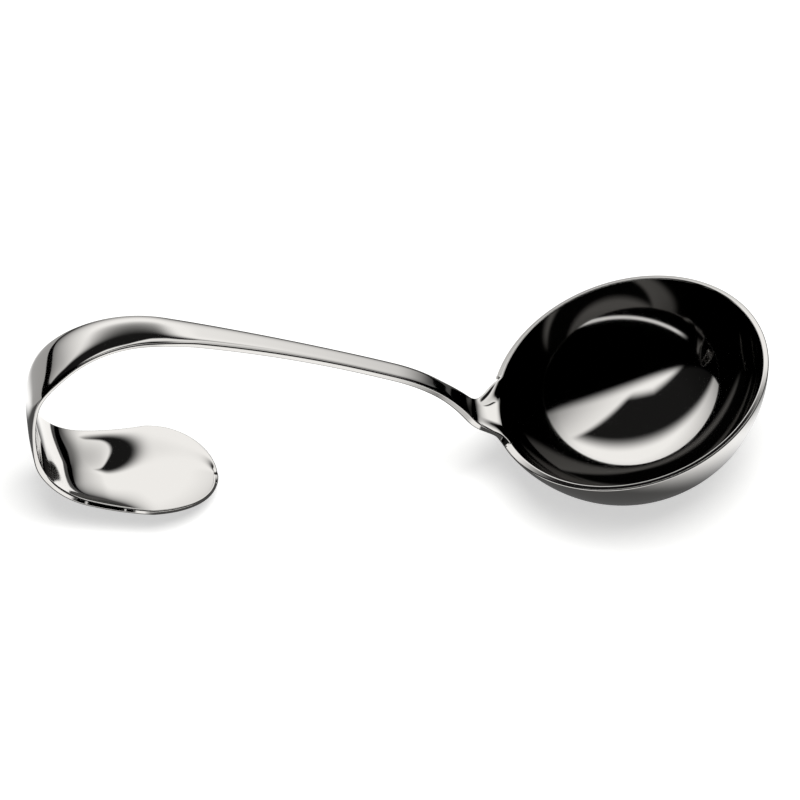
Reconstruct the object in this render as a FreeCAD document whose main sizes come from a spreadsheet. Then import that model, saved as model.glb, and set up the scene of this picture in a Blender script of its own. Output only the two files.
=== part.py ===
"""A small serving ladle forged from one sheet of stainless steel.

A spherical bowl carries a narrow handle that rises from the rim, arches over, curls back under
itself and ends in a broad dished palm.  At rest it stands on the bottom of the bowl and on the
underside of the palm.  Millimetres and degrees, +Z up.

The ladle is drawn with its rim level, the bowl's axis on Z and the handle towards -X, and is
then tilted to the pose in which it rests.
"""
import FreeCAD, Part
import bisect
import math
import os

import Sketcher
from FreeCAD import Placement, Rotation, Vector

doc = FreeCAD.newDocument("ladle")

# Driving dimensions
DIMENSIONS = {
    # bowl
    "rim_radius": 34.0,
    "bowl_depth": 26.7,
    "wall": 1.5,
    "lip_round": 0.4,
    # side line of the handle, from the rim to the tip: a radius and a turn for each stretch,
    # where a positive turn curls it back towards the bowl
    "root_slope": 3.1,
    "neck_radius": 7.2,
    "neck_turn": -65.4,
    "throat_radius": 42.0,
    "throat_turn": 31.0,
    "shank_radius": 370.0,
    "shank_turn": 9.0,
    "crown_radius": 26.7,
    "crown_turn": 74.0,
    "bend_radius": 19.0,
    "bend_turn": 19.0,
    "back_radius": 35.5,
    "back_turn": 25.0,
    "heel_radius": 17.4,
    "heel_turn": 62.0,
    "palm_radius": 62.0,
    "palm_turn": 14.0,
    "tip_radius": 51.0,
    "tip_turn": -18.5,
    # outline of the handle, seen square to its face
    "shank_width": 4.8,
    "palm_width": 28.4,
    "flare_radius": 17.0,
    "spread_start": 41.2,
    "spread_power": 1.9,
    "tip_width": 2.0,
    # section of the handle, and how far below the lip its upper face starts
    "shank_thickness": 1.9,
    "tip_thickness": 1.3,
    "edge_round": 0.4,
    "root_drop": 0.067,
    # hollow of the palm: it begins a little way round the heel and deepens over a length
    "dish_depth": 6.8,
    "dish_power": 3.2,
    "dish_onset": 7.9,
    "dish_growth": 13.7,
}

sheet = doc.addObject("Spreadsheet::Sheet", "dims")
for row, (alias, value) in enumerate(DIMENSIONS.items(), start=1):
    sheet.set("A%d" % row, alias)
    sheet.set("B%d" % row, str(value))
    sheet.setAlias("B%d" % row, alias)
doc.recompute()


def dim(alias):
    """The value of one cell of the sheet."""
    return float(getattr(sheet, alias))


# Bowl: a spherical shell with a softened lip, turned about the vertical axis

def ball_radius():
    """Radius of the sphere that passes through the rim and the lowest point of the bowl."""
    return (dim("rim_radius") ** 2 + dim("bowl_depth") ** 2) / (2 * dim("bowl_depth"))


def ball_height():
    """Height of that sphere's centre over the rim."""
    return ball_radius() - dim("bowl_depth")


def make_bowl():
    """The bowl as a PartDesign body: half a section, revolved."""
    body = doc.addObject("PartDesign::Body", "bowl")
    plane = next(item for item in body.Origin.OriginFeatures if item.Role == "XZ_Plane")
    sketch = body.newObject("Sketcher::SketchObject", "bowl_section")
    sketch.AttachmentSupport = [(plane, "")]
    sketch.MapMode = "FlatFace"

    outer, wall, lip = ball_radius(), dim("wall"), dim("lip_round")
    inner, height = outer - wall, ball_height()
    centre, up = Vector(0, height, 0), Vector(0, 0, 1)
    outer_end = math.asin(-(height + lip) / outer)
    inner_end = math.asin(-(height + lip) / inner)
    outer_lip = Vector(outer * math.cos(outer_end), -lip, 0)
    inner_lip = Vector(inner * math.cos(inner_end), -lip, 0)

    outer_arc = sketch.addGeometry(
        Part.ArcOfCircle(Part.Circle(centre, up, outer), -math.pi / 2, outer_end))
    outer_round = sketch.addGeometry(
        Part.ArcOfCircle(Part.Circle(outer_lip - Vector(lip, 0, 0), up, lip), 0, math.pi / 2))
    lip_top = sketch.addGeometry(
        Part.LineSegment(outer_lip + Vector(-lip, lip, 0), inner_lip + Vector(lip, lip, 0)))
    inner_round = sketch.addGeometry(
        Part.ArcOfCircle(Part.Circle(inner_lip + Vector(lip, 0, 0), up, lip),
                         math.pi / 2, math.pi))
    inner_arc = sketch.addGeometry(
        Part.ArcOfCircle(Part.Circle(centre, up, inner), -math.pi / 2, inner_end))
    floor = sketch.addGeometry(
        Part.LineSegment(Vector(0, height - inner, 0), Vector(0, height - outer, 0)))

    start, end, middle, origin, axis = 1, 2, 3, -1, -2
    join = [
        Sketcher.Constraint("Coincident", outer_arc, end, outer_round, start),
        Sketcher.Constraint("Coincident", outer_round, end, lip_top, start),
        Sketcher.Constraint("Coincident", lip_top, end, inner_round, start),
        Sketcher.Constraint("Coincident", inner_round, end, inner_arc, end),
        Sketcher.Constraint("Coincident", inner_arc, start, floor, start),
        Sketcher.Constraint("Coincident", floor, end, outer_arc, start),
        Sketcher.Constraint("Coincident", inner_arc, middle, outer_arc, middle),
        Sketcher.Constraint("PointOnObject", outer_arc, middle, axis),
        Sketcher.Constraint("PointOnObject", floor, start, axis),
        Sketcher.Constraint("PointOnObject", floor, end, axis),
        Sketcher.Constraint("Horizontal", lip_top),
        Sketcher.Constraint("PointOnObject", lip_top, start, -1),
        Sketcher.Constraint("Vertical", outer_round, middle, lip_top, start),
        Sketcher.Constraint("Vertical", inner_round, middle, lip_top, end),
        Sketcher.Constraint("Horizontal", outer_round, start, outer_round, middle),
        Sketcher.Constraint("Equal", outer_round, inner_round),
    ]
    sketch.addConstraint(join)

    def bind(constraint, expression):
        index = sketch.addConstraint(constraint)
        sketch.setExpression("Constraints[%d]" % index, expression)

    ball = "(dims.rim_radius^2 + dims.bowl_depth^2) / (2 * dims.bowl_depth)"
    bind(Sketcher.Constraint("Radius", outer_arc, outer), ball)
    bind(Sketcher.Constraint("DistanceY", origin, 1, outer_arc, middle, height),
         ball + " - dims.bowl_depth")
    bind(Sketcher.Constraint("Radius", outer_round, lip), "dims.lip_round")
    bind(Sketcher.Constraint("DistanceY", outer_arc, start, inner_arc, start, wall), "dims.wall")

    turned = body.newObject("PartDesign::Revolution", "bowl_shell")
    turned.Profile = sketch
    turned.ReferenceAxis = (sketch, ["V_Axis"])
    turned.Angle = 360
    sketch.Visibility = False
    return body


# Handle: a strip whose width, thickness and hollow all change along a bent side line

STRETCHES = ["neck", "throat", "shank", "crown", "bend", "back", "heel", "palm", "tip"]


def root_height():
    """Height at which the middle of the strip starts, below the lip."""
    return -dim("shank_thickness") / 2 - dim("root_drop")


def root_radius():
    """Where the strip starts: in the middle of the bowl's wall at that height."""
    middle = ball_radius() - dim("wall") / 2
    return math.sqrt(middle ** 2 - (ball_height() - root_height()) ** 2)


def side_line():
    """Walks along the middle of the strip, as (distance, x, z, heading) in the rim's frame.

    Each stretch is an arc: over a step of length d the heading grows by d over the radius, and
    the step itself points along the mean heading.  The first point lies inside the bowl's wall.
    """
    heading = 180 - dim("root_slope")
    distance, x, z = 0.0, -root_radius(), root_height()
    line = [(distance, x, z, heading)]
    joints = [distance]
    steps = 48
    for name in STRETCHES:
        turn = dim(name + "_turn")
        step = dim(name + "_radius") * math.radians(abs(turn)) / steps
        for _ in range(steps):
            mean = math.radians(heading + turn / steps / 2)
            x += step * math.cos(mean)
            z += step * math.sin(mean)
            heading += turn / steps
            distance += step
            line.append((distance, x, z, heading))
        joints.append(distance)
    return line, joints


LINE, JOINTS = side_line()
THROAT_END = JOINTS[STRETCHES.index("shank")]
CROWN_START = JOINTS[STRETCHES.index("crown")]
HEEL_START = JOINTS[STRETCHES.index("heel")]
TIP_START, TIP_END = JOINTS[-2:]


def at(distance):
    """Position and heading of the side line at a distance from the root."""
    for before, after in zip(LINE, LINE[1:]):
        if distance <= after[0]:
            break
    share = (distance - before[0]) / (after[0] - before[0])
    return [a + share * (b - a) for a, b in zip(before[1:], after[1:])]


def tip_roundness(distance):
    """1 up to the widest point of the palm, then a quarter of an ellipse down to 0."""
    along = max(0.0, (distance - TIP_START) / (TIP_END - TIP_START))
    return math.sqrt(max(0.0, 1 - along ** 2))


def flare(distance):
    """Half the width of the neck in plan, where an arc joins the shank's edge to the rim.

    The arc's centre lies a flare radius outside both.  At radius r from the bowl's axis the
    cosine rule gives the angle between the centre and the arc.
    """
    bulge = dim("flare_radius")
    centre = root_radius() + bulge
    offset = dim("shank_width") / 2 + bulge
    radius = -at(distance)[0]
    if radius ** 2 >= centre ** 2 - offset ** 2:
        return dim("shank_width") / 2
    cosine = (radius ** 2 + centre ** 2 - bulge ** 2) / (2 * radius * centre)
    angle = math.asin(offset / centre) - math.acos(min(1.0, cosine))
    return radius * math.sin(angle)


def half_width(distance):
    """Half the strip's width: flared at the rim, slim along the shank, broad at the palm."""
    half_shank, half_palm = dim("shank_width") / 2, dim("palm_width") / 2
    spread = max(0.0, (distance - dim("spread_start")) / (TIP_START - dim("spread_start")))
    grown = (half_palm - half_shank) * min(1.0, spread) ** dim("spread_power")
    return (flare(distance) + grown) * tip_roundness(distance)


def thickness(distance):
    """Even along the shank, then thinning steadily to the tip."""
    share = max(0.0, (distance - CROWN_START) / (TIP_END - CROWN_START))
    return dim("shank_thickness") + (dim("tip_thickness") - dim("shank_thickness")) * share


def dish(distance):
    """Depth of the palm's hollow below its edges: it deepens as the heel comes round."""
    share = (distance - HEEL_START - dim("dish_onset")) / dim("dish_growth")
    share = min(1.0, max(0.0, share))
    smooth = share * share * (3 - 2 * share)
    return dim("dish_depth") * smooth * tip_roundness(distance)


SECTION_STEP = 3.0  # length of outline from one section to the next, at most
OUTLINE_MARKS = 8000  # points along the strip at which that length is measured
HALF_COUNT = 5  # points of a curve across, to each side of its middle


def section(distance):
    """Control points of the strip's outline across, in eight pieces that meet end to end.

    Across the strip, at v from its middle, the band's mid-surface lies depth (1 - |v/w|^p) to
    the outside of the curl.  At the neck it also follows a circle about the bowl's axis, so
    that it leaves the rim evenly; this fades out along the throat.
    """
    x, z, heading = at(distance)
    width, half = half_width(distance), thickness(distance) / 2
    depth, power = dish(distance), dim("dish_power")
    round_neck = max(0.0, 1 - distance / THROAT_END)
    corner = min(dim("edge_round"), 0.8 * half, 0.4 * width)  # smaller at the thin tip
    angle = math.radians(heading)
    forward = Vector(math.cos(angle), 0, math.sin(angle))
    outside = Vector(math.sin(angle), 0, -math.cos(angle))

    def middle(v):
        share = abs(v) / width
        reach = math.sqrt(x * x - v * v)
        point = Vector(x + round_neck * (-x - reach), v, z)
        point += outside * (depth * (1 - share ** power))
        slope = -depth * power * share ** (power - 1) / width * math.copysign(1, v)
        along = Vector(round_neck * v / reach, 1, 0) + outside * slope
        along.normalize()
        normal = along.cross(forward)
        normal.normalize()
        return point, along, normal

    def face(side):
        """Poles of a curve across, through points on one face of the band."""
        points = []
        for index in range(-HALF_COUNT, HALF_COUNT + 1):
            point, _, normal = middle((width - corner) * index / HALF_COUNT)
            points.append(point + normal * (side * half))
        curve = Part.BSplineCurve()
        curve.interpolate(Points=points, Parameters=list(range(len(points))))
        return curve.getPoles()

    def end(side, outer_point, inner_point):
        """Poles of a quarter round, a straight and a quarter round, over one edge."""
        point, along, normal = middle(side * width)
        high, low = point + normal * (half - corner), point - normal * (half - corner)
        high_corner = high + normal * corner
        low_corner = low - normal * corner
        return [[outer_point, high_corner, high], [high, low], [low, low_corner, inner_point]]

    outer, inner = face(1), face(-1)
    right = end(1, outer[-1], inner[-1])
    left = [piece[::-1] for piece in end(-1, outer[0], inner[0])][::-1]
    return [outer] + right + [inner[::-1]] + left


def piece_kind(poles):
    """Degree, knots, multiplicities and weights of a piece, from its number of poles."""
    if len(poles) == 2:
        return 1, [0, 1], [2, 2], [1, 1]
    if len(poles) == 3:
        return 2, [0, 1], [3, 3], [1, math.sqrt(0.5), 1]
    spans = 2 * HALF_COUNT
    return 3, list(range(spans + 1)), [4] + [1] * (spans - 1) + [4], [1] * len(poles)


def skin(rows, places):
    """A surface through matching rows of poles.

    Each column of poles is joined by a cubic curve that reaches its rows at the given places;
    the poles of those curves are the poles of the surface.
    """
    columns = []
    for column in zip(*rows):
        curve = Part.BSplineCurve()
        curve.interpolate(Points=list(column), Parameters=places)
        columns.append(curve.getPoles())
    degree, knots, mults, weights = piece_kind(rows[0])
    surface = Part.BSplineSurface()
    surface.buildFromPolesMultsKnots(
        columns, mults, curve.getMultiplicities(), knots, curve.getKnots(), False, False,
        degree, curve.Degree, [[weight] * len(columns[0]) for weight in weights])
    return surface.toShape()


def outline_edge(poles):
    """One piece of a section as an edge."""
    degree, knots, mults, weights = piece_kind(poles)
    curve = Part.BSplineCurve()
    curve.buildFromPolesMultsKnots(poles, mults, knots, False, degree, weights)
    return curve.toShape()


def stations():
    """Distances of the sections and their places: even steps along the strip's outline.

    The last section lies where the rounded tip has narrowed to the tip's width.
    """
    narrowed = dim("tip_width") / dim("palm_width")
    stop = TIP_START + (TIP_END - TIP_START) * math.sqrt(1 - narrowed ** 2)
    marks = [stop * index / OUTLINE_MARKS for index in range(OUTLINE_MARKS + 1)]
    widths = [half_width(mark) for mark in marks]
    walked = [0.0]
    for index in range(1, len(marks)):
        run = marks[index] - marks[index - 1]
        walked.append(walked[-1] + math.hypot(run, widths[index] - widths[index - 1]))
    count = math.ceil(walked[-1] / SECTION_STEP)
    places = [walked[-1] * index / count for index in range(count + 1)]
    distances = [marks[bisect.bisect_left(walked, place)] for place in places]
    return distances, places


def make_strip():
    """The handle: eight faces along the sections and one over each end."""
    distances, places = stations()
    sections = [section(distance) for distance in distances]
    faces = [skin(rows, places) for rows in zip(*sections)]
    for pieces in (sections[0], sections[-1]):
        outline = Part.Wire([outline_edge(poles) for poles in pieces])
        faces.append(Part.makeFilledFace(outline.Edges))
    shell = Part.Shell(faces)
    seam = 0.001
    shell.sewShape(seam)
    strip = doc.addObject("Part::Feature", "strip")
    strip.Shape = Part.Solid(shell)
    return strip


# Rest: the tilt at which the bowl and the underside of the palm stand at the same height

def palm_low(tilt):
    """Height of the palm's lowest point, for the rim's frame tilted by this angle."""
    lowest = []
    for distance, x, z, heading in LINE:
        if distance < HEEL_START:
            continue
        reach = dish(distance) + thickness(distance) / 2
        angle = math.radians(heading)
        low_x = x + reach * math.sin(angle)
        low_z = z - reach * math.cos(angle)
        lowest.append(low_x * math.sin(tilt) + low_z * math.cos(tilt))
    return min(lowest)


def rest_tilt():
    """Halves the range of tilts until bowl and palm touch the table together."""
    low, high = 0.0, math.radians(45)
    for _ in range(50):
        tilt = (low + high) / 2
        bowl_low = ball_height() * math.cos(tilt) - ball_radius()
        if palm_low(tilt) > bowl_low:
            low = tilt
        else:
            high = tilt
    return tilt


bowl = make_bowl()
strip = make_strip()
doc.recompute()

ladle = doc.addObject("Part::Fuse", "ladle")
ladle.Label = "ladle"
ladle.Base = bowl
ladle.Tool = strip
doc.recompute()

tilt = rest_tilt()
turn = Rotation(Vector(0, 1, 0), -math.degrees(tilt))
ladle.Placement = Placement(Vector(0, 0, 0), turn)
doc.recompute()
box = ladle.Shape.optimalBoundingBox(False)
middle_x = (box.XMin + box.XMax) / 2
base_z = ball_height() * math.cos(tilt) - ball_radius()
ladle.Placement = Placement(Vector(-middle_x, 0, -base_z), turn)
doc.recompute()

for item in doc.Objects:
    if "Invalid" in item.State or "Error" in item.State:
        raise RuntimeError("%s did not build: %s" % (item.Name, item.State))
if ladle.Shape.isNull() or not ladle.Shape.isValid():
    raise RuntimeError("the ladle's shape is not valid")

os.makedirs("parts", exist_ok=True)
ladle.Shape.exportStep("parts/%s.step" % ladle.Label)
print("tilt", round(math.degrees(tilt), 3), "solids", len(ladle.Shape.Solids),
      "volume", round(ladle.Shape.Volume, 1), "mm3")
box = ladle.Shape.optimalBoundingBox(False)
print("box x %.2f..%.2f y %.2f..%.2f z %.2f..%.2f" % (
    box.XMin, box.XMax, box.YMin, box.YMax, box.ZMin, box.ZMax))
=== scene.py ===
# %% [markdown]
# # A small serving ladle in mirror-polished stainless steel
#
# The real ladle is one piece.  A blank is stamped out of stainless sheet, its round end is
# pressed into a bowl, its long end is bent into a hook that ends in a dished palm, and the
# whole is ground along its edges and buffed until it mirrors the room.  So the model is one
# closed sheet too: one skin for the inside of the bowl and the top of the handle, one for the
# outside, and a narrow band that runs round the whole edge and joins them.
#
# The first cell loads the solid model that this scene has to match in size and place.

import math

import bpy
import numpy as np
from mathutils import Matrix, Vector


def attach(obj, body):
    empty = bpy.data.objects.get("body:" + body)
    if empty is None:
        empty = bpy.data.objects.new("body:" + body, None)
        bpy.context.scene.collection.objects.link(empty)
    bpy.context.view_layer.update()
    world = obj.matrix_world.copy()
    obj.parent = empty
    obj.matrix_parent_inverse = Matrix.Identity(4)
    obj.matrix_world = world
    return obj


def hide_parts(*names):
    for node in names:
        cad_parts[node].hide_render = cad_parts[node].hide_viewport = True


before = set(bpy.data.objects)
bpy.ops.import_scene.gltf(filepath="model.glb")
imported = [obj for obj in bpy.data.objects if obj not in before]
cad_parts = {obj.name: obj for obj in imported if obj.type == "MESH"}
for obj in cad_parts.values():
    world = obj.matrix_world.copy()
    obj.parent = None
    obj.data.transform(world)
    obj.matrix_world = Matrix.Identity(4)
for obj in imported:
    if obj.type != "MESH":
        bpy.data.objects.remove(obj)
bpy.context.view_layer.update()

# %% [markdown]
# ## The bowl's sphere
#
# A pressed bowl like this one is part of a sphere.  The rim is 68 mm across and the bowl
# 26.7 mm deep, and these two numbers give the sphere's radius by Pythagoras.  Everything is
# worked out with the rim level, in millimetres, the bowl's axis on Z and the handle towards
# -X, because all the radii are easy to name there.  The whole shape is tilted at the end.

# %% The sphere from the rim and the depth
RIM_RADIUS = 34.0
BOWL_DEPTH = 26.7
LIP_THICKNESS = 1.4  # of the sheet at the lip
EDGE_ROUND = 0.4  # radius left on each corner of the edge by the polishing
INSET = 0.04  # mm that the drawn sphere lies inside the solid one, so that it stays in its box

ball_radius = (RIM_RADIUS ** 2 + BOWL_DEPTH ** 2) / (2 * BOWL_DEPTH)
ball_height = ball_radius - BOWL_DEPTH  # of its centre over the rim
mid_radius = ball_radius - LIP_THICKNESS / 2 - INSET  # of the middle of the sheet
print("sphere radius", round(ball_radius, 2), "mm, centre", round(ball_height, 2), "mm up")

# %% [markdown]
# ## The side line of the handle
#
# Seen from the side, the handle leaves the bowl's wall in a tight outward roll, turns up
# along the neck, runs up the shank, arches over the crown and comes back round the heel to
# the palm.  A bender thinks of such a line as a row of arcs, each with a radius and an angle,
# so that is how it is written here.  A curve drawn by hand would wobble in a mirror finish.
# The arcs' curvature is blurred over a short length, because sheet bent over a former never
# changes its radius at a single point, and a mirror would show such a point as a crease.

# %% Arcs into a line
ROLL_RADIUS = 1.6  # of the outward roll at the rim
ARCS = [  # (radius in mm, turn in degrees), positive turns curl back towards the bowl
    (7.2, -57.9),  # neck
    (42.0, 31.0),  # throat
    (370.0, 9.0),  # shank
    (26.7, 74.0),  # crown
    (19.0, 19.0),  # bend
    (35.5, 25.0),  # back
    (17.4, 62.0),  # heel
    (62.0, 14.0),  # palm
    (51.0, -18.5),  # tip
]
ROLL_START = np.array([-32.664, -1.996])  # where the roll leaves the sphere, as (x, z)
ROLL_HEADING = 107.5  # degrees there, along the sphere
ROLL_TURN = 61.9
FINE = 0.02  # mm between the points of the line
BLUR = 2.4  # mm over which the curvature changes


def side_line():
    """Distance, x, z and heading along the middle of the sheet.

    The heading is the running sum of curvature times step, and the position is the running
    sum of step times (cosine, sine) of the heading.
    """
    def stretch(radius, turn):
        """An arc's turn, shared evenly over its steps."""
        length = radius * math.radians(abs(turn))
        count = round(length / FINE)
        return np.full(count, math.radians(turn) / count)

    roll = stretch(ROLL_RADIUS, ROLL_TURN)
    rest = np.concatenate([stretch(radius, turn) for radius, turn in ARCS])
    window = np.hanning(round(BLUR / FINE) + 2)[1:-1]
    padded = np.pad(rest, len(window) // 2, mode="edge")
    rest = np.convolve(padded, window / window.sum(), mode="same")[len(window) // 2:][:len(rest)]
    turns = np.concatenate([roll, rest])
    heading = math.radians(ROLL_HEADING) + np.concatenate([[0.0], np.cumsum(turns)])
    mean = (heading[1:] + heading[:-1]) / 2
    x = ROLL_START[0] + np.concatenate([[0.0], np.cumsum(FINE * np.cos(mean))])
    z = ROLL_START[1] + np.concatenate([[0.0], np.cumsum(FINE * np.sin(mean))])
    return FINE * np.arange(len(x)), x, z, heading


line_s, line_x, line_z, line_heading = side_line()
arc_ends = ROLL_RADIUS * math.radians(ROLL_TURN) + np.cumsum(
    [radius * math.radians(abs(turn)) for radius, turn in ARCS])
neck_end, throat_end, shank_end = arc_ends[:3]
bend_end, back_end, tip_start, tip_end = arc_ends[4], arc_ends[5], arc_ends[7], line_s[-1]
print("the handle is", round(line_s[-1], 1), "mm long, measured along its bends")

# %% [markdown]
# ## Width and thickness along the handle
#
# The blank is broad where it leaves the rim, slim along the shank and broad again at the
# palm, whose end is rounded.  Each of these is one formula in the distance along the handle.
# They describe the middle of the sheet, a corner's radius inside the finished edge, because
# the edge band is added afterwards.

# %% How wide and thick the handle is
SHANK_WIDTH = 4.8
PALM_WIDTH = 28.4
FLARE_RADIUS = 14.4
FLARE_CIRCLE = 33.13  # radius of the circle about the bowl's axis that the flare touches
SPREAD_START = 41.7  # mm along the handle where the shank starts to widen
SPREAD_POWER = 1.9
SHANK_THICKNESS = 1.9
TIP_THICKNESS = 1.3


def smooth(share):
    """0 below 0, 1 above 1, and 3 s^2 - 2 s^3 between."""
    share = np.clip(share, 0.0, 1.0)
    return share * share * (3 - 2 * share)


def roundness(s):
    """1 up to the widest point of the palm, then a quarter of an ellipse down to 0."""
    along = np.clip((s - tip_start) / (tip_end - tip_start), 0.0, 1.0)
    return np.sqrt(1 - along ** 2)


def flare(radius):
    """Half the neck's width at a distance from the bowl's axis: an arc that touches both the
    circle inside the rim and the straight edge of the shank.

    The law of cosines gives the angle at the bowl's axis between the arc's centre and the
    point on the arc, and the half width is the distance times the sine of what is left of
    the centre's own angle.
    """
    half_shank = SHANK_WIDTH / 2 - EDGE_ROUND
    centre = FLARE_CIRCLE + FLARE_RADIUS
    offset = half_shank + FLARE_RADIUS
    cosine = (radius ** 2 + centre ** 2 - FLARE_RADIUS ** 2) / (2 * radius * centre)
    angle = math.asin(offset / centre) - np.arccos(np.clip(cosine, -1.0, 1.0))
    straight = radius ** 2 >= centre ** 2 - offset ** 2
    return np.where(straight, half_shank, radius * np.sin(angle))


def half_width(s, radius):
    """The flare, plus a spread that grows as a power of the distance, times the roundness."""
    spread = np.clip((s - SPREAD_START) / (tip_start - SPREAD_START), 0.0, 1.0)
    grown = (PALM_WIDTH - SHANK_WIDTH) / 2 * spread ** SPREAD_POWER
    return (flare(radius) + grown) * roundness(s)


def thickness(s):
    """Even along the shank, then in a straight line down to the tip's thickness."""
    share = np.clip((s - shank_end) / (tip_end - shank_end), 0.0, 1.0)
    return SHANK_THICKNESS + (TIP_THICKNESS - SHANK_THICKNESS) * share


print("throat ends at", round(throat_end, 1), "mm, palm is widest at", round(tip_start, 1), "mm")

# %% [markdown]
# ## The hollow of the palm
#
# The palm is dished, which stiffens it and lets it sit under a finger.  A mirror tells a
# hollow's shape by what it gathers.  The photograph's palm is pale with one dark spot near
# its middle.  A shallow hollow comes close to that, one that stays deep until close to the
# near edge, eases up in an S to the far edge, and runs out before the tip.  The solid model
# has a deeper one, so this palm ends a little above the table where the solid touches it.

# %% Depth and section of the hollow
DISH_DEPTH = 2.8
DISH_ONSET = 6.0  # mm after the start of the heel
DISH_GROWTH = 19.0  # mm over which it reaches its depth
DISH_FADE = 0.85  # share of the depth that is gone at the tip
FADE_LEAD = 11.0  # mm before the widest point of the palm, where it starts to fade
FADE_LENGTH = 13.0
NEAR_POWER = 3.2  # of the section on the near side


def dish(s):
    """Depth of the hollow at its middle: the full depth times a smooth step after the heel,
    times one less the faded share of a smooth step before the tip."""
    fading = 1 - DISH_FADE * smooth((s - tip_start + FADE_LEAD) / FADE_LENGTH)
    return DISH_DEPTH * smooth((s - back_end - DISH_ONSET) / DISH_GROWTH) * fading


def hollow_section(q):
    """Share of the depth at share q of the half width: the squared cosine of q quarter turns
    on the far side, and 1 - |q|^3.2 on the near side."""
    return np.where(q > 0, np.cos(math.pi / 2 * q) ** 2, 1 - np.abs(q) ** NEAR_POWER)


print("the hollow is", DISH_DEPTH, "mm deep")

# %% [markdown]
# ## The bent part and the worn shoulders
#
# Sheet that is bent over a former arches across the bend as well.  The bent part is also
# drawn with a slight lean to the near side, which brings the light and dark of the crown to
# where the photograph has them.  Along the whole shank the wheel has rounded the top face's
# shoulders, so they fall off as a high power of the distance from the middle: flat almost
# all the way across, then quickly down.

# %% How the top face falls to its edges
CROWN_LEAD = 8.0  # mm before the end of the shank, where the bent part starts
CROWN_BLEND = 12.0  # mm over which it grows
BEND_BLEND = 14.0  # mm over which it runs out again, up to the end of the bend
LEAN = 0.135  # slope of the bent part towards the near side
SINK = 0.38  # mm that the bent part lies below its arcs, so that the lean stays in the box
CROWN_SHARE = 0.035  # how far the bent top face falls to its edges, per half width
SHOULDER_SHARE = 0.09  # how far its worn shoulders fall, per half width
SHOULDER_POWER = 5
SHOULDER_BLEND = 12.0  # mm over which the shoulders begin and end
SHOULDER_TAIL = 4.0  # mm past the start of the heel, where they have ended


def bent_part(s):
    """A smooth step up before the crown times a smooth step down before the bend's end."""
    begun = smooth((s - shank_end + CROWN_LEAD) / CROWN_BLEND)
    return begun * smooth((bend_end - s) / BEND_BLEND)


def top_fall(s, width, q):
    """How far the top face has fallen at share q of the half width, and its slope there.

    The fall is the half width times (crown q^2 + shoulder |q|^5), with the crown only on the
    bent part.  The slope is its derivative by q.
    """
    until_heel = smooth((back_end + SHOULDER_TAIL - s) / SHOULDER_BLEND)
    from_neck = smooth((s - neck_end) / SHOULDER_BLEND)
    arched = (CROWN_SHARE * bent_part(s))[:, None]
    worn = (SHOULDER_SHARE * from_neck * until_heel)[:, None]
    far = np.abs(q)
    fall = width[:, None] * (arched * q ** 2 + worn * far ** SHOULDER_POWER)
    slope = 2 * arched * q + SHOULDER_POWER * worn * np.sign(q) * far ** (SHOULDER_POWER - 1)
    return fall, slope


print("the bent part runs from", round(shank_end - CROWN_LEAD, 1), "to", round(bend_end, 1), "mm")

# %% [markdown]
# ## The handle's rows
#
# The handle is a grid: rows across it, one after another along the side line, and columns
# along it.  Where the outline turns fast, at the flare and at the rounded tip, even steps
# along the handle would leave long slanting edges.  So the rows at the flare start close
# together and spread as a square, and those at the tip are spaced as the sine of an angle,
# which makes the steps along the outline nearly even.

# %% Rows and columns of the handle
COLUMNS = 44  # across the handle
FLARE_ROWS = 26
LONG_ROWS = 330
TIP_ROWS = 48
FLARE_LENGTH = 14.0  # mm along the handle
LAST_SHARE = 0.9998  # of the tip's length, where the last row lies

rows_flare = FLARE_LENGTH * (np.arange(FLARE_ROWS) / FLARE_ROWS) ** 2
rows_long = np.linspace(FLARE_LENGTH, tip_start, LONG_ROWS, endpoint=False)
tip_angle = np.linspace(0.0, math.asin(LAST_SHARE), TIP_ROWS)
rows_tip = tip_start + (tip_end - tip_start) * np.sin(tip_angle)
rows = np.concatenate([rows_flare, rows_long, rows_tip])
across = np.linspace(-1.0, 1.0, COLUMNS + 1)
print(len(rows), "rows of", len(across), "points")

# %% [markdown]
# ## The middle of the handle's sheet
#
# Every point of the grid starts on the side line and is moved from there.  Close to the rim
# the two sides of the strip leave from the lip itself and stand higher than its middle,
# which leaves from the wall.  The rim is round and the shank straight, so the rows are
# curved about the bowl's axis at first and straighten along the throat.

# %% The handle as a grid of points
LIFT_START = 0.35  # share of the half width, from which the root rises to the lip
LIFT_LENGTH = 7.0  # mm along the handle over which that rise is gone

lip_from_start = np.array([-FLARE_CIRCLE, -EDGE_ROUND]) - ROLL_START


def handle_middle(s, q):
    """The middle of the sheet at distance s and share q of the half width, as (x, y, z).

    A point starts on the side line and moves q half widths across.  Near the root it rises
    towards the lip.  It sinks along the normal by the hollow's depth, and on the bent part by
    the sink less the lean times its place across.  Last it is carried onto a circle about the
    bowl's axis, which fades out along the throat.
    """
    s, q = s[:, None], q[None, :]
    x, z, heading = (np.interp(s, line_s, values) for values in (line_x, line_z, line_heading))
    lift = smooth((np.abs(q) - LIFT_START) / (1 - LIFT_START)) * (1 - smooth(s / LIFT_LENGTH))
    x = x + lip_from_start[0] * lift
    z = z + lip_from_start[1] * lift
    width = half_width(s, -x)
    y = q * width
    depth = dish(s) * hollow_section(q) + bent_part(s) * (LEAN * y - SINK)
    x = x + np.sin(heading) * depth
    z = z - np.cos(heading) * depth
    bend = np.clip(1 - s / throat_end, 0.0, 1.0)
    x = x + bend * (-x - np.sqrt(x * x - y * y))
    return np.stack([x, y, z], axis=-1)


handle = handle_middle(rows, across)
handle_width = half_width(rows, -np.interp(rows, line_s, line_x))
handle_crown, crown_slope = top_fall(rows, handle_width, across)
print("root half width", round(handle[0, -1, 1], 2), "mm")

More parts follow.
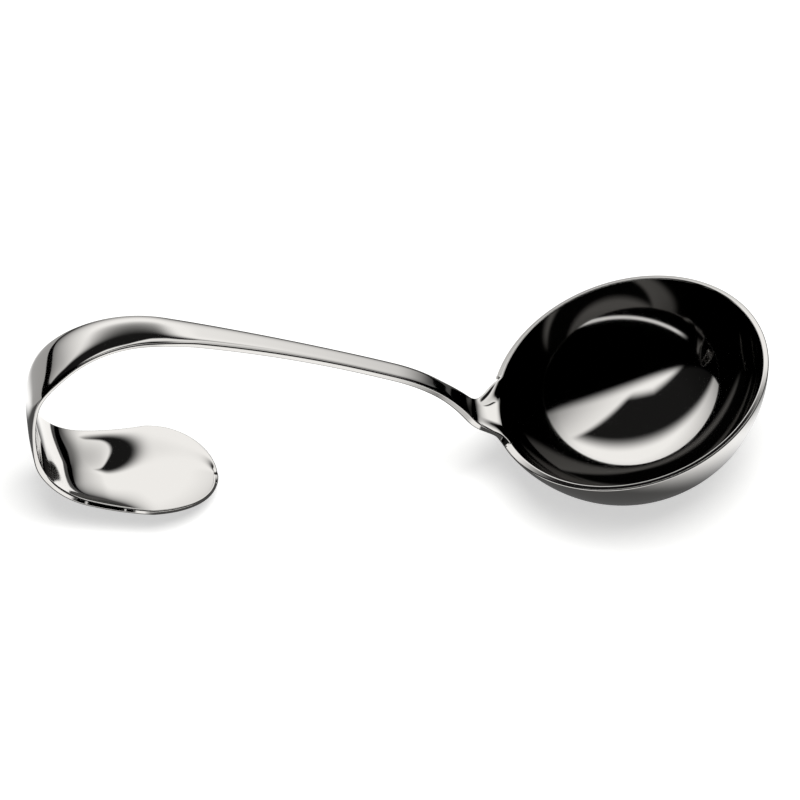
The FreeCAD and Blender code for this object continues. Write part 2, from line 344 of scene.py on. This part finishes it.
# %% [markdown]
# ## The bowl's rows
#
# The bowl is a polar grid on the sphere: rings round the lowest point and columns up to the
# lip.  The columns that lie under the handle end where the handle's first row starts, and
# use the same angles, so that the two grids share their points and the mirror surface runs
# through from one to the other.

# %% Rings and columns of the bowl
RINGS = 72
FREE_COLUMNS = 270

root = handle[0]
root_angle = np.arctan2(root[:, 1], -root[:, 0])
root_polar = np.arctan2(np.hypot(root[:, 0], root[:, 1]), ball_height - root[:, 2])
free = np.linspace(root_angle[-1], 2 * math.pi + root_angle[0], FREE_COLUMNS + 1)[1:-1]
lip_polar = math.acos((ball_height + EDGE_ROUND) / mid_radius)
angle = np.concatenate([root_angle, free])
polar_end = np.concatenate([root_polar, np.full(len(free), lip_polar)])


def bowl_middle(share):
    """Points of the sphere at shares of the way from its lowest point to the lip."""
    polar = share[:, None] * polar_end[None, :]
    ring = np.sin(polar) * mid_radius
    return np.stack([-ring * np.cos(angle), ring * np.sin(angle),
                     ball_height - np.cos(polar) * mid_radius], axis=-1)


shares = np.arange(1, RINGS + 1) / RINGS
bowl = bowl_middle(shares)
seam = np.linalg.norm(bowl[-1, :COLUMNS + 1] - root, axis=1)
print("largest step where bowl and handle meet", round(seam.max(), 4), "mm")

# %% [markdown]
# ## Normals
#
# The sheet gets its thickness by moving every point half of it along the surface's normal,
# to one side and to the other.  On the sphere the normal points at the centre.  On the
# handle it is the cross product of the directions across and along, which numpy's gradient
# takes from the neighbouring points.  Blender's Solidify could do this too, but its corners
# would be sharp, and the edge of this ladle shows as a bright line with a soft corner.

# %% Normals of the middle surface
ROWS_BELOW = 4  # rings of the bowl that the handle's first rows are measured against


def unit(vectors):
    """Vectors divided by their length."""
    return vectors / np.linalg.norm(vectors, axis=-1, keepdims=True)


bowl_normal = unit(np.array([0.0, 0.0, ball_height]) - bowl)

strip = np.concatenate([bowl[-1 - ROWS_BELOW:-1, :COLUMNS + 1], handle])
ring_step = mid_radius * lip_polar / RINGS
strip_s = np.concatenate([ring_step * np.arange(-ROWS_BELOW, 0), rows])
along = np.gradient(strip, strip_s, axis=0)
crosswise = np.gradient(strip, axis=1, edge_order=2)
handle_normal = unit(np.cross(crosswise, along))[ROWS_BELOW:]
crowned_normal = unit(handle_normal + unit(crosswise)[ROWS_BELOW:] * crown_slope[..., None])
bowl_normal[-1, :COLUMNS + 1] = handle_normal[0]
print("the handle's root leans", round(math.degrees(math.acos(handle_normal[0, COLUMNS // 2, 2]))),
      "degrees from level")

# %% [markdown]
# ## The sheet's thickness
#
# Pressing draws the sheet out, so the bowl's lip is thinner than the shank.  Round the neck
# the wall has to be as thick as the shank that grows out of it, and it thins from there
# along the rim and down the wall.

# %% Thickness at every point
NECK_ANGLE = 20.0  # degrees of the rim, to each side, where the lip is as thick as the shank
NECK_SPREAD = 45.0  # degrees beyond, over which it thins
LIP_START = 0.75  # share of the way up the wall, from which it thickens

turned = np.abs((angle + math.pi) % (2 * math.pi) - math.pi)
near_neck = 1 - smooth((np.degrees(turned) - NECK_ANGLE) / NECK_SPREAD)
near_lip = smooth((shares - LIP_START) / (1 - LIP_START))
bowl_thickness = LIP_THICKNESS + (
    SHANK_THICKNESS - LIP_THICKNESS) * near_neck[None, :] * near_lip[:, None]
handle_thickness = np.broadcast_to(thickness(rows)[:, None], handle.shape[:2])
print("the lip is", round(bowl_thickness[-1].min(), 2), "to",
      round(bowl_thickness[-1].max(), 2), "mm thick")

# %% [markdown]
# ## The edge band
#
# All round the blank the edge was ground square and its corners broken by the buffing
# wheel.  The band starts on the top skin, turns a quarter circle, crosses the edge straight
# and turns a quarter circle back to the lower skin.  Its direction outwards is the cross
# product of the sheet's normal with the direction along the edge.

# %% The edge's outline and section
ARC_STEPS = 5
CORNER_SHARE = 0.3  # of the sheet's thickness, the most that a corner's radius takes


def around(of_bowl, of_handle):
    """The values along the whole edge: up the free lip from one side of the neck to the
    other, then along the handle, across its end and back."""
    free_lip = of_bowl[-1, COLUMNS:]
    out = of_handle[:, 0]
    end = of_handle[-1, 1:-1]
    back = of_handle[:0:-1, -1]
    return np.concatenate([free_lip, out, end, back])


edge_normal = around(bowl_normal, handle_normal)
edge_drop = around(np.zeros(bowl.shape[:2]), handle_crown)[:, None]
edge_thickness = around(bowl_thickness, handle_thickness)[:, None] - edge_drop
edge = around(bowl, handle) - edge_normal * edge_drop / 2
forward = unit(unit(np.roll(edge, -1, axis=0) - edge) + unit(edge - np.roll(edge, 1, axis=0)))
outward = unit(np.cross(edge_normal, forward))

quarter = np.linspace(0.0, math.pi / 2, ARC_STEPS + 1)
sines = np.concatenate([np.sin(quarter), np.sin(quarter[::-1])])
sides = np.concatenate([np.cos(quarter), -np.cos(quarter[::-1])])
signs = np.repeat([-1.0, 1.0], ARC_STEPS + 1)
corner = np.minimum(EDGE_ROUND, CORNER_SHARE * edge_thickness)
band = (edge[None] + outward[None] * (corner * sines[:, None, None])
        - edge_normal[None] * signs[:, None, None] * (
            edge_thickness / 2 - corner + corner * np.abs(sides)[:, None, None]))
band_normal = unit(outward[None] * sines[:, None, None]
                   + edge_normal[None] * sides[:, None, None])
print("the edge runs", round(np.linalg.norm(np.roll(edge, -1, axis=0) - edge, axis=1).sum()),
      "mm round the ladle")

# %% [markdown]
# ## One list of faces
#
# The pieces become one list of points and one list of faces.  Every grid turns into
# four-cornered faces in the same way: each point with its neighbour, the one beyond and the
# one beside.  The numbers run through the upper skin first, then the lower one, then the
# inner rings of the band, so that the three share their points where they meet.

# %% Numbering the points
bowl_count = bowl.shape[0] * bowl.shape[1]
bowl_index = 1 + np.arange(bowl_count).reshape(bowl.shape[:2])
handle_index = np.vstack([
    bowl_index[-1:, :COLUMNS + 1],
    1 + bowl_count + np.arange((len(rows) - 1) * (COLUMNS + 1)).reshape(-1, COLUMNS + 1)])
skin_count = handle_index.max() + 1
edge_index = around(bowl_index, handle_index)
band_count = len(sines) - 2
band_index = np.vstack([
    edge_index,
    2 * skin_count + np.arange(band_count * len(edge)).reshape(band_count, -1),
    edge_index + skin_count])


def quads(index, closed):
    """Four-cornered faces over a grid of point numbers, closed round its columns or not."""
    if closed:
        index = np.concatenate([index, index[:, :1]], axis=1)
    corners = [index[:-1, :-1], index[:-1, 1:], index[1:, 1:], index[1:, :-1]]
    return np.stack(corners, axis=-1).reshape(-1, 4)


print(skin_count, "points in each skin,", band_count * len(edge), "in the band between them")

# %% [markdown]
# ## Two skins
#
# Both skins come from the middle surface by the same steps, half the thickness to one side
# or the other.  Only the upper one has the fall of the crown and shoulders.  The lower skin
# takes its faces' corners the other way round, so that every face looks outwards, and a fan
# of triangles closes each skin at the bowl's lowest point.

# %% Points, normals and faces
def skin(side):
    """Points and normals of one skin: the middle plus side times half the thickness along the
    normal, where side 1 is the inside of the bowl and -1 the outside."""
    pole = np.array([[0.0, 0.0, ball_height - mid_radius + side * LIP_THICKNESS / 2]])
    on_bowl = bowl + bowl_normal * (side * bowl_thickness / 2)[..., None]
    drop = handle_crown if side > 0 else 0.0
    on_handle = handle + handle_normal * (side * handle_thickness / 2 - drop)[..., None]
    facing = crowned_normal if side > 0 else handle_normal
    points = np.concatenate([pole, on_bowl.reshape(-1, 3), on_handle[1:].reshape(-1, 3)])
    normals = np.concatenate([[[0.0, 0.0, 1.0]], bowl_normal.reshape(-1, 3),
                              facing[1:].reshape(-1, 3)])
    return points, side * normals


upper, upper_normal = skin(1)
lower, lower_normal = skin(-1)
points = np.concatenate([upper, lower, band[1:-1].reshape(-1, 3)])
normals = np.concatenate([upper_normal, lower_normal, band_normal[1:-1].reshape(-1, 3)])
ring = bowl_index[0]
fan = np.stack([ring, np.roll(ring, -1), np.zeros_like(ring)], axis=-1)
skin_quads = np.concatenate([quads(bowl_index, True), quads(handle_index, False)])
faces = [*fan[:, ::-1].tolist(), *skin_quads.tolist(),
         *(fan + skin_count).tolist(), *(skin_quads[:, ::-1] + skin_count).tolist(),
         *quads(band_index, True).tolist()]
print(len(points), "points,", len(faces), "faces")

# %% [markdown]
# ## Tilting it to the way it rests
#
# The ladle stands on two places, the bottom of the bowl and the underside of the palm.  With
# the rim level the palm would hang lower than the bowl, so the whole turns about the Y axis
# as the solid model does.  The place goes into the points themselves and the object stays at
# the origin.

# %% The mesh in its place
REST_TILT = math.radians(13.05)
RIM_CENTRE = np.array([55.81, 0.0, 26.91])  # mm, as the ladle rests


def to_rest(vectors):
    """Vectors of the rim's frame turned about Y by the rest tilt."""
    turn = np.array([[math.cos(REST_TILT), 0.0, math.sin(REST_TILT)], [0.0, 1.0, 0.0],
                     [-math.sin(REST_TILT), 0.0, math.cos(REST_TILT)]])
    return vectors @ turn


placed = to_rest(points) + RIM_CENTRE
mesh = bpy.data.meshes.new("ladle_steel")
mesh.from_pydata(placed / 1000, [], faces)
mesh.polygons.foreach_set("use_smooth", np.ones(len(faces), dtype=bool))
mesh.normals_split_custom_set_from_vertices(to_rest(normals))
ladle = bpy.data.objects.new("ladle_steel", mesh)
bpy.context.collection.objects.link(ladle)
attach(ladle, "root")
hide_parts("ladle")
print("ladle from", placed.min(axis=0).round(2), "to", placed.max(axis=0).round(2))

# %% [markdown]
# ## Mirror-polished stainless steel
#
# Serving ladles like this one are 18/10 stainless steel, ground, then buffed on cloth
# wheels.  The metal shows almost no colour of its own, only a slightly warm grey that takes
# about half off whatever it mirrors, and edges that stay sharp in the reflection.  Buffing
# leaves the roughness a little uneven, which shows as a faint bloom in some places.

# %% The steel
STEEL = "#B9B7B4"
BUFFED = (0.035, 0.075)  # roughness where the wheel dwelt and where it passed quickly
BUFF_SPOT = 0.012  # metres from one dwell to the next
NOISE_RANGE = (0.3, 0.7)  # which most of the noise's values keep to


def linear(hex_code):
    """An sRGB hex colour as linear RGBA, by the standard's two-part curve."""
    channels = [int(hex_code[i:i + 2], 16) / 255 for i in (1, 3, 5)]
    return [c / 12.92 if c <= 0.04045 else ((c + 0.055) / 1.055) ** 2.4 for c in channels] + [1.0]


def add_node(tree, kind, settings=None, inputs=None):
    """Adds a node, sets its properties, and gives its sockets a value or a link.  A node that
    is given as a value stands for its first output."""
    node = tree.nodes.new(kind)
    for name, value in (settings or {}).items():
        setattr(node, name, value)
    for name, value in (inputs or {}).items():
        if isinstance(value, bpy.types.Node):
            value = value.outputs[0]
        if isinstance(value, bpy.types.NodeSocket):
            tree.links.new(value, node.inputs[name])
        else:
            node.inputs[name].default_value = value
    return node


def new_material(name):
    """An empty node material and its output node."""
    material = bpy.data.materials.new(name)
    material.use_nodes = True
    material.node_tree.nodes.clear()
    return material, material.node_tree, add_node(material.node_tree, "ShaderNodeOutputMaterial")


steel, tree, output = new_material("buffed_stainless_steel")
place = add_node(tree, "ShaderNodeTexCoord")
bloom = add_node(tree, "ShaderNodeTexNoise", {}, {
    "Vector": place.outputs["Object"], "Scale": 1 / BUFF_SPOT, "Detail": 3.0, "Roughness": 0.6})
rough = add_node(tree, "ShaderNodeMapRange", {}, {
    "Value": bloom.outputs["Fac"], "From Min": NOISE_RANGE[0], "From Max": NOISE_RANGE[1],
    "To Min": BUFFED[0], "To Max": BUFFED[1]})
metal = add_node(tree, "ShaderNodeBsdfPrincipled", {}, {
    "Base Color": linear(STEEL), "Metallic": 1.0, "Roughness": rough})
tree.links.new(metal.outputs["BSDF"], output.inputs["Surface"])
mesh.materials.append(steel)
print("steel roughness", BUFFED)

# %% [markdown]
# ## The table
#
# The ground of the photograph is pure white, and still most of the steel is black.  One
# evenly white room can't give both, because a mirror shows only the room.  So the eye and
# the mirror see two different rooms here, and the Light Path node tells them apart.  For the
# eye there is a pale matt table under one soft box, with a little glow added so that the
# table comes out as white as the photograph's ground.

# %% The table that the eye sees
FLOOR_SIZE = 3.0  # metres
FLOOR_WHITE = "#E6E6E4"
FLOOR_GLOW = 0.55  # for the camera alone
WHITE = linear("#FFFFFF")

half_floor = FLOOR_SIZE / 2
floor_mesh = bpy.data.meshes.new("floor")
floor_corners = [(-half_floor, -half_floor, 0.0), (half_floor, -half_floor, 0.0),
                 (half_floor, half_floor, 0.0), (-half_floor, half_floor, 0.0)]
floor_mesh.from_pydata(floor_corners, [], [(0, 1, 2, 3)])
floor = bpy.data.objects.new("floor", floor_mesh)
bpy.context.collection.objects.link(floor)

table_white, tree, output = new_material("white_table")
floor_mesh.materials.append(table_white)
paths = add_node(tree, "ShaderNodeLightPath")
matte = add_node(tree, "ShaderNodeBsdfDiffuse", {}, {"Color": linear(FLOOR_WHITE)})
glow_level = add_node(tree, "ShaderNodeMath", {"operation": "MULTIPLY"}, {
    0: paths.outputs["Is Camera Ray"], 1: FLOOR_GLOW})
glow = add_node(tree, "ShaderNodeEmission", {}, {"Color": WHITE, "Strength": glow_level})
lit = add_node(tree, "ShaderNodeAddShader", {}, {0: matte, 1: glow})
print("the table is", FLOOR_SIZE, "m wide")

# %% [markdown]
# ## The table in the mirror
#
# The outer wall of the bowl and about a third of the handle mirror the table.  There the
# photograph shows light close to the ladle, dark where the ladle stands over the table and
# dark again farther out.  So this table is painted with light: strongest near the middle,
# taken away under the bowl and under the handle, and ended by a soft edge on the near and
# the far side.  Every edge is one smooth step across a distance in metres, and the steps are
# multiplied.

# %% The table that the mirror sees
BOWL_FOOT = (0.045, -0.010, 0.0)  # metres, the middle of the dark patch under the bowl
BOWL_PATCH = (0.026, 0.058)  # metres from there, where it starts to clear and where it ends
HANDLE_PATCH = (0.025, 0.036)  # metres to each side of the handle's line
HANDLE_PATCH_END = (0.04, 0.07)  # metres along X
NEAR_EDGE = (-0.19, -0.09)  # metres along Y, from dark to lit
FAR_EDGE = (0.13, 0.08)  # metres along X + Y, from dark to lit
LIT_CENTRE = (0.15, 0.09)  # metres from the origin, from the weak to the strong light
LIT_LEVEL = (0.5, 1.6)  # strength of the weak and of the strong light
DARK_LEVEL = 0.12  # strength that the dark parts keep
SOFT_STEP = {"interpolation_type": "SMOOTHSTEP"}

place = add_node(tree, "ShaderNodeTexCoord")
split = add_node(tree, "ShaderNodeSeparateXYZ", {}, {"Vector": place.outputs["Object"]})
from_foot = add_node(tree, "ShaderNodeVectorMath", {"operation": "DISTANCE"}, {
    0: place.outputs["Object"], 1: BOWL_FOOT})
from_middle = add_node(tree, "ShaderNodeVectorMath", {"operation": "LENGTH"}, {
    0: place.outputs["Object"]})
beside = add_node(tree, "ShaderNodeMath", {"operation": "ABSOLUTE"}, {0: split.outputs["Y"]})
slanting = add_node(tree, "ShaderNodeMath", {"operation": "ADD"}, {
    0: split.outputs["X"], 1: split.outputs["Y"]})

off_bowl, off_handle, past_handle, near_side, far_side = [
    add_node(tree, "ShaderNodeMapRange", SOFT_STEP, {
        "Value": value, "From Min": start, "From Max": end})
    for value, (start, end) in (
        (from_foot.outputs["Value"], BOWL_PATCH), (beside, HANDLE_PATCH),
        (split.outputs["X"], HANDLE_PATCH_END), (split.outputs["Y"], NEAR_EDGE),
        (slanting, FAR_EDGE))]
clear_of_handle = add_node(tree, "ShaderNodeMath", {"operation": "MAXIMUM"}, {
    0: off_handle, 1: past_handle})
light = add_node(tree, "ShaderNodeMapRange", SOFT_STEP, {
    "Value": from_middle.outputs["Value"], "From Min": LIT_CENTRE[0], "From Max": LIT_CENTRE[1],
    "To Min": LIT_LEVEL[0], "To Max": LIT_LEVEL[1]})
for step in (off_bowl, clear_of_handle, near_side, far_side):
    light = add_node(tree, "ShaderNodeMath", {"operation": "MULTIPLY"}, {0: light, 1: step})
light = add_node(tree, "ShaderNodeMath", {"operation": "ADD"}, {0: light, 1: DARK_LEVEL})

painted = add_node(tree, "ShaderNodeEmission", {}, {"Color": WHITE, "Strength": light})
both = add_node(tree, "ShaderNodeMixShader", {}, {
    0: paths.outputs["Is Glossy Ray"], 1: lit, 2: painted})
tree.links.new(both.outputs[0], output.inputs["Surface"])
print("painted light on the table", DARK_LEVEL, "to", round(LIT_LEVEL[1] + DARK_LEVEL, 2))

# %% [markdown]
# ## The soft box
#
# One large lamp over the ladle gives the table its light and the ladle its soft shadow.  A
# real soft box would show in the steel.  This one doesn't, because the light that the steel
# shows is drawn in the world below, where each edge of it can be placed.

# %% The lamp over the table
BOX_SIZE = 0.8  # metres
BOX_POWER = 12.0  # watts
BOX_PLACE = Vector((0.1, -0.2, 1.1))  # metres

box_data = bpy.data.lights.new("soft_box_over", "AREA")
box_data.shape = "SQUARE"
box_data.size = BOX_SIZE
box_data.energy = BOX_POWER
soft_box = bpy.data.objects.new("soft_box_over", box_data)
bpy.context.collection.objects.link(soft_box)
soft_box.location = BOX_PLACE
soft_box.rotation_mode = "QUATERNION"
soft_box.rotation_quaternion = (-BOX_PLACE).to_track_quat("-Z", "Y")
soft_box.visible_camera = False
soft_box.visible_glossy = False
print("soft box", round(BOX_PLACE.length, 2), "m from the ladle")

# %% [markdown]
# ## What the mirror sees overhead
#
# The inside of the bowl gathers everything overhead.  In the photograph it is black with one
# pale patch that a dark band crosses, so overhead there is a pale roof with a long dark slot
# in it.  A direction (x, y, z) lands on a ceiling at height one at (x/z, y/z), and a roof's
# straight edges stay straight there.  So the roof is drawn in those two numbers, and each of
# its edges is a smooth step of one simple sum of them.  The numbers were found by following
# the edges of light and dark in the photograph back from the steel.

# %% Directions as places on a roof
LOWEST = 0.02  # height that a direction is taken to have at least, near the horizon

world = bpy.data.worlds.new("studio")
bpy.context.scene.world = world
world.use_nodes = True
tree = world.node_tree
tree.nodes.clear()
toward = add_node(tree, "ShaderNodeTexCoord")
split = add_node(tree, "ShaderNodeSeparateXYZ", {}, {"Vector": toward.outputs["Generated"]})
height = add_node(tree, "ShaderNodeMath", {"operation": "MAXIMUM"}, {
    0: split.outputs["Z"], 1: LOWEST})
roof_x, roof_y = [
    add_node(tree, "ShaderNodeMath", {"operation": "DIVIDE"}, {0: split.outputs[axis], 1: height})
    for axis in "XY"]
roof = add_node(tree, "ShaderNodeCombineXYZ", {}, {"X": roof_x, "Y": roof_y})
print("the roof reaches out to", 1 / LOWEST, "times its height")

# %% [markdown]
# ## The dark slot
#
# The slot lies along X, and a strip with two straight sides would nearly do.  But its near
# side bends away at its left end, and its right end is cut at a slant.  The bend is a straight
# line whose place moves only to the left of the knee, and the slanting cut is a step along
# the direction square to it.

# %% Three edges of the slot
SLOT_FAR = (0.86, 0.44)  # along Y, from the pale roof to the dark slot
SLOT_NEAR = (-0.31, -0.13)  # along Y, from the pale roof to the dark slot
SLOT_RIGHT = (0.13, 0.03)  # along its own direction, from the pale roof to the dark slot
RIGHT_DIRECTION = (0.69, -0.72, 0.0)
KNEE = -0.5  # X of the knee in the near side
KNEE_SLOPE = 0.35  # of the near side, to the left of the knee

past_knee = add_node(tree, "ShaderNodeMath", {"operation": "SUBTRACT"}, {0: roof_x, 1: KNEE})
past_knee = add_node(tree, "ShaderNodeMath", {"operation": "MINIMUM"}, {0: past_knee, 1: 0.0})
from_near = add_node(tree, "ShaderNodeMath", {"operation": "MULTIPLY_ADD"}, {
    0: past_knee, 1: -KNEE_SLOPE, 2: roof_y})
to_right = add_node(tree, "ShaderNodeVectorMath", {"operation": "DOT_PRODUCT"}, {
    0: roof, 1: RIGHT_DIRECTION})
slot = 1.0
for value, (start, end) in (
        (roof_y, SLOT_FAR), (from_near, SLOT_NEAR), (to_right.outputs["Value"], SLOT_RIGHT)):
    step = add_node(tree, "ShaderNodeMapRange", SOFT_STEP, {
        "Value": value, "From Min": start, "From Max": end})
    slot = add_node(tree, "ShaderNodeMath", {"operation": "MULTIPLY"}, {0: slot, 1: step})
print("the slot is", round(SLOT_FAR[0] - SLOT_NEAR[0], 2), "of the roof's height wide")

# %% [markdown]
# ## The light of the roof
#
# The roof is brightest overhead and dims towards the horizon, as cloth under a lamp does.
# It dims to the right as well, and it ends in a gently curved front edge on the near side,
# past which there is only dark.  The light is the product of all of these.

# %% How bright each direction is
ROOF_LEVEL = 1.75
FULL_HEIGHT = 0.643  # height of a direction, above which the roof grows no brighter
DIM_POWER = 0.85  # of the light's fall towards the horizon
DIM_DIRECTION = (1.0, -0.8, 0.0)
DIM_RANGE = (-0.1, 1.3)  # along that direction
DIM_SHARE = 0.25  # of the light that is left at its end
FRONT_SLOPE = 0.30
FRONT_CURVE = 0.12
FRONT_EDGE = (-0.44, -0.22)  # along Y, from the dark to the roof
SLOT_SHARE = 0.99  # of the light that the slot takes away

high = add_node(tree, "ShaderNodeMath", {"operation": "DIVIDE"}, {0: height, 1: FULL_HEIGHT})
high = add_node(tree, "ShaderNodeMath", {"operation": "MINIMUM"}, {0: high, 1: 1.0})
high = add_node(tree, "ShaderNodeMath", {"operation": "POWER"}, {0: high, 1: DIM_POWER})
dim_place = add_node(tree, "ShaderNodeVectorMath", {"operation": "DOT_PRODUCT"}, {
    0: roof, 1: DIM_DIRECTION})
to_the_right = add_node(tree, "ShaderNodeMapRange", SOFT_STEP, {
    "Value": dim_place.outputs["Value"], "From Min": DIM_RANGE[0], "From Max": DIM_RANGE[1],
    "To Min": 1.0, "To Max": DIM_SHARE})
slope = add_node(tree, "ShaderNodeMath", {"operation": "MULTIPLY_ADD"}, {
    0: roof_x, 1: FRONT_CURVE, 2: FRONT_SLOPE})
bow = add_node(tree, "ShaderNodeMath", {"operation": "MULTIPLY"}, {0: roof_x, 1: slope})
from_front = add_node(tree, "ShaderNodeMath", {"operation": "SUBTRACT"}, {0: roof_y, 1: bow})
behind_front = add_node(tree, "ShaderNodeMapRange", SOFT_STEP, {
    "Value": from_front, "From Min": FRONT_EDGE[0], "From Max": FRONT_EDGE[1]})
beside_slot = add_node(tree, "ShaderNodeMath", {"operation": "MULTIPLY_ADD"}, {
    0: slot, 1: -SLOT_SHARE, 2: 1.0})
roof_light = ROOF_LEVEL
for share in (high, to_the_right, behind_front, beside_slot):
    roof_light = add_node(tree, "ShaderNodeMath", {"operation": "MULTIPLY"}, {
        0: roof_light, 1: share})
print("the roof's light goes up to", ROOF_LEVEL)

# %% [markdown]
# ## A low strip of light
#
# On the near side a narrow bright strip stands low over the horizon.  The bowl's far wall
# mirrors it as a narrow pale arc some way under the rim, and the rounded lip as a thin line.
# Its lower and upper edges are two steps of the direction's height, and a third step of Y
# keeps it to the near side.

# %% The strip near the horizon
STRIP_LEVEL = 1.1
STRIP_FOOT = (0.17, 0.20)  # height of a direction, from the dark to the strip
STRIP_TOP = (0.245, 0.215)
STRIP_SIDE = (-0.45, -0.65)  # Y of a direction

strip_light = STRIP_LEVEL
for axis, (start, end) in (("Z", STRIP_FOOT), ("Z", STRIP_TOP), ("Y", STRIP_SIDE)):
    step = add_node(tree, "ShaderNodeMapRange", SOFT_STEP, {
        "Value": split.outputs[axis], "From Min": start, "From Max": end})
    strip_light = add_node(tree, "ShaderNodeMath", {"operation": "MULTIPLY"}, {
        0: strip_light, 1: step})
overhead = add_node(tree, "ShaderNodeMath", {"operation": "ADD"}, {0: roof_light, 1: strip_light})
middle_height = (STRIP_FOOT[1] + STRIP_TOP[1]) / 2
print("the strip stands", round(math.degrees(math.asin(middle_height)), 1), "degrees up")

# %% [markdown]
# ## The second mirroring
#
# Light that meets the steel twice on its way to the eye shows as arcs on the wall of the
# bowl.  The photograph's arcs are few and thin, and this roof is too simple for that: at full
# strength it would fill the wall with grey.  So the world is dimmed once a ray has been
# mirrored more than once.  Real light doesn't do so, and this is a trick of the stage.  The
# last node gives the camera plain white, and matt surfaces a little even light.

# %% The finished world
SECOND_SHARE = 0.14  # of the light that is left after two mirrorings
SECOND_DEPTH = (1.2, 1.8)  # a depth of 1 lies before this step and 2 after it
EVEN_LIGHT = 0.12

paths = add_node(tree, "ShaderNodeLightPath")
dimming = add_node(tree, "ShaderNodeMapRange", SOFT_STEP, {
    "Value": paths.outputs["Glossy Depth"], "From Min": SECOND_DEPTH[0],
    "From Max": SECOND_DEPTH[1], "To Min": 1.0, "To Max": SECOND_SHARE})
mirrored = add_node(tree, "ShaderNodeMath", {"operation": "MULTIPLY"}, {0: overhead, 1: dimming})
mirrored = add_node(tree, "ShaderNodeMath", {"operation": "MULTIPLY"}, {
    0: mirrored, 1: paths.outputs["Is Glossy Ray"]})
bright = add_node(tree, "ShaderNodeMath", {"operation": "MULTIPLY_ADD"}, {
    0: paths.outputs["Is Diffuse Ray"], 1: EVEN_LIGHT, 2: mirrored})
sky = add_node(tree, "ShaderNodeBackground", {}, {"Color": WHITE, "Strength": bright})
plain_white = add_node(tree, "ShaderNodeBackground", {}, {"Color": WHITE, "Strength": 1.0})
choose = add_node(tree, "ShaderNodeMixShader", {}, {
    0: paths.outputs["Is Camera Ray"], 1: sky, 2: plain_white})
add_node(tree, "ShaderNodeOutputWorld", {}, {"Surface": choose})
print(len(tree.nodes), "nodes in the world")

# %% [markdown]
# ## The camera
#
# The rim is a circle on the real ladle and an ellipse in the photograph, and its shape and
# slope give the direction that the camera looked from: 47 degrees up, from the near side and
# a little to the left, through a long lens.

# %% Camera
CAMERA_DISTANCE = 6.0  # metres
VIEW_WIDTH = 0.19116  # metres across the picture, at the object
SENSOR = 36.0  # mm
FAR_CLIP = 50.0  # metres
LOOK_AT = Vector((0.00070, 0.00169, 0.02431))  # metres, the point in the picture's middle
CAMERA_RIGHT = Vector((0.99608, -0.08812, -0.00641))  # the picture's right in the room
CAMERA_UP = Vector((0.06881, 0.72823, 0.68187))  # the picture's up in the room

right = CAMERA_RIGHT.normalized()
back = right.cross(CAMERA_UP).normalized()
up = back.cross(right)
camera_data = bpy.data.cameras.new("camera")
camera_data.sensor_width = SENSOR
camera_data.lens = SENSOR * CAMERA_DISTANCE / VIEW_WIDTH
camera_data.clip_end = FAR_CLIP
camera = bpy.data.objects.new("camera", camera_data)
bpy.context.collection.objects.link(camera)
camera.matrix_world = Matrix.Translation(LOOK_AT + back * CAMERA_DISTANCE) @ Matrix(
    (right, up, back)).transposed().to_4x4()
bpy.context.scene.camera = camera
bpy.context.scene.view_settings.view_transform = "Standard"
print("camera", round(math.degrees(math.asin(back.z)), 1), "degrees up")
